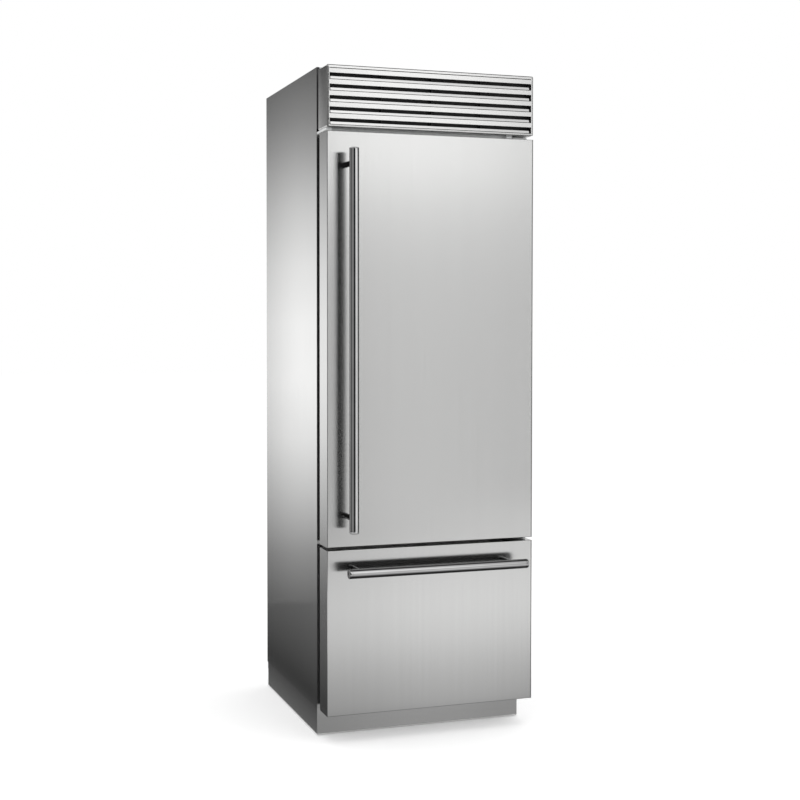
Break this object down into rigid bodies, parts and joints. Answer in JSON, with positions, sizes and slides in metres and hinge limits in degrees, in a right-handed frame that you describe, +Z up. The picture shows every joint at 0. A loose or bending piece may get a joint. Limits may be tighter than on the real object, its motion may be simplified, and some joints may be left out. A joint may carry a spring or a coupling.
{
  "type": "refrigerator",
  "caption": "Tall stainless-steel refrigerator with a louvred top bay, a hinged fridge door and a freezer drawer on telescopic slides, with shelves, bins and tubular handles.",
  "frame": {"origin": "on the floor, under the middle of the whole outline, handles included", "axes": "+Z up, +Y from the front to the back, +X to the right of someone facing the door"},
  "size_m": [0.696, 0.8305, 2.12],
  "materials": {
    "brushed_steel": "brushed stainless steel",
    "satin_steel": "satin stainless tube",
    "galvanised": "galvanised sheet",
    "black_metal": "black paint",
    "aluminium": "bare aluminium",
    "copper": "copper tube",
    "white_liner": "white inner liner",
    "white_plastic": "white moulding",
    "clear_plastic": "clear moulding",
    "grey_plastic": "dark grey moulding",
    "black_plastic": "black glossy fascia",
    "gasket": "dark grey seal",
    "glass": "toughened glass",
    "light": "opal light cover",
    "foam": "rigid polyurethane foam"
  },
  "bodies": {
    "cabinet": {"left_side_panel": "brushed_steel", "right_side_panel": "brushed_steel", "back_panel": "galvanised", "top_cover": "galvanised", "insulation_foam": "foam", "fridge_liner": "white_liner", "freezer_liner": "white_liner", "face_frame": "brushed_steel", "base_frame": "galvanised", "plinth": "brushed_steel", "levelling_feet": "grey_plastic", "roller_brackets": "galvanised", "compressor_tray": "galvanised", "compressor": "black_metal", "condenser": "aluminium", "condenser_fan_shroud": "grey_plastic", "refrigerant_pipes": "copper", "control_box": "grey_plastic", "fan_motors": "grey_plastic", "evaporator_coils": "aluminium", "fridge_duct_panel": "white_plastic", "freezer_duct_panel": "white_plastic", "shelf_rails": "white_plastic", "shelf_trims": "satin_steel", "crisper_cover": "glass", "light_strips": "light", "control_panel": "black_plastic", "hinge_brackets": "satin_steel", "drawer_slides_fixed": "galvanised", "shelf_1": "glass", "shelf_2": "glass", "shelf_3": "glass"},
    "fridge_door": {"door_panel": "brushed_steel", "door_foam": "foam", "door_liner": "white_liner", "door_gasket": "gasket", "door_handle_bar": "satin_steel", "door_handle_fittings": "satin_steel", "hinge_bushes": "white_plastic", "door_bin_1": "clear_plastic", "door_bin_2": "clear_plastic", "door_bin_3": "clear_plastic"},
    "freezer_drawer": {"drawer_panel": "brushed_steel", "drawer_foam": "foam", "drawer_liner": "white_liner", "drawer_gasket": "gasket", "drawer_handle_bar": "satin_steel", "drawer_handle_fittings": "satin_steel", "drawer_bin": "white_plastic", "drawer_slides_inner": "galvanised"},
    "slide_members": {"drawer_slides_middle": "galvanised"},
    "sliding_tray": {"freezer_tray": "white_plastic"},
    "grille": {"grille_frame": "brushed_steel", "louvre_blades": "brushed_steel"},
    "crisper": {"crisper_drawer": "clear_plastic"},
    "humidity_control": {"humidity_slider": "white_plastic"},
    "condenser_fan": {"condenser_fan_rotor": "grey_plastic"},
    "fridge_fan": {"fridge_fan_rotor": "grey_plastic"},
    "freezer_fan": {"freezer_fan_rotor": "grey_plastic"},
    "rollers": {"rear_rollers": "grey_plastic"}
  },
  "joints": [
    {"name": "door_hinge", "type": "hinge", "parent": "cabinet", "child": "fridge_door", "pos_m": [0.333, -0.29275, 0.619], "axis": [0, 0, 1], "range_deg": [0, 110]},
    {"name": "drawer_slide", "type": "slide", "parent": "cabinet", "child": "freezer_drawer", "axis": [0, -1, 0], "range_m": [0, 0.43]},
    {"name": "slide_members_travel", "type": "slide", "parent": "cabinet", "child": "slide_members", "axis": [0, -1, 0], "range_m": [0, 0.215]},
    {"name": "tray_slide", "type": "slide", "parent": "freezer_drawer", "child": "sliding_tray", "axis": [0, 1, 0], "range_m": [0, 0.25]},
    {"name": "grille_flap", "type": "hinge", "parent": "cabinet", "child": "grille", "pos_m": [0, -0.25225, 2.0925], "axis": [-1, 0, 0], "range_deg": [0, 80]},
    {"name": "crisper_slide", "type": "slide", "parent": "cabinet", "child": "crisper", "axis": [0, -1, 0], "range_m": [0, 0.08]},
    {"name": "humidity_slide", "type": "slide", "parent": "crisper", "child": "humidity_control", "axis": [1, 0, 0], "range_m": [0, 0.08]},
    {"name": "condenser_fan_spin", "type": "hinge", "parent": "cabinet", "child": "condenser_fan", "pos_m": [0.16875, -0.04975, 1.9915], "axis": [0, 1, 0], "continuous": true},
    {"name": "fridge_fan_spin", "type": "hinge", "parent": "cabinet", "child": "fridge_fan", "pos_m": [0, 0.30725, 0.899], "axis": [0, 1, 0], "continuous": true},
    {"name": "freezer_fan_spin", "type": "hinge", "parent": "cabinet", "child": "freezer_fan", "pos_m": [0, 0.30725, 0.398], "axis": [0, 1, 0], "continuous": true},
    {"name": "roller_spin", "type": "hinge", "parent": "cabinet", "child": "rollers", "pos_m": [0, 0.33525, 0.026], "axis": [1, 0, 0], "continuous": true}
  ],
  "couplings": [
    {"joint": "slide_members_travel", "follows": "drawer_slide", "ratio": 0.5}
  ]
}
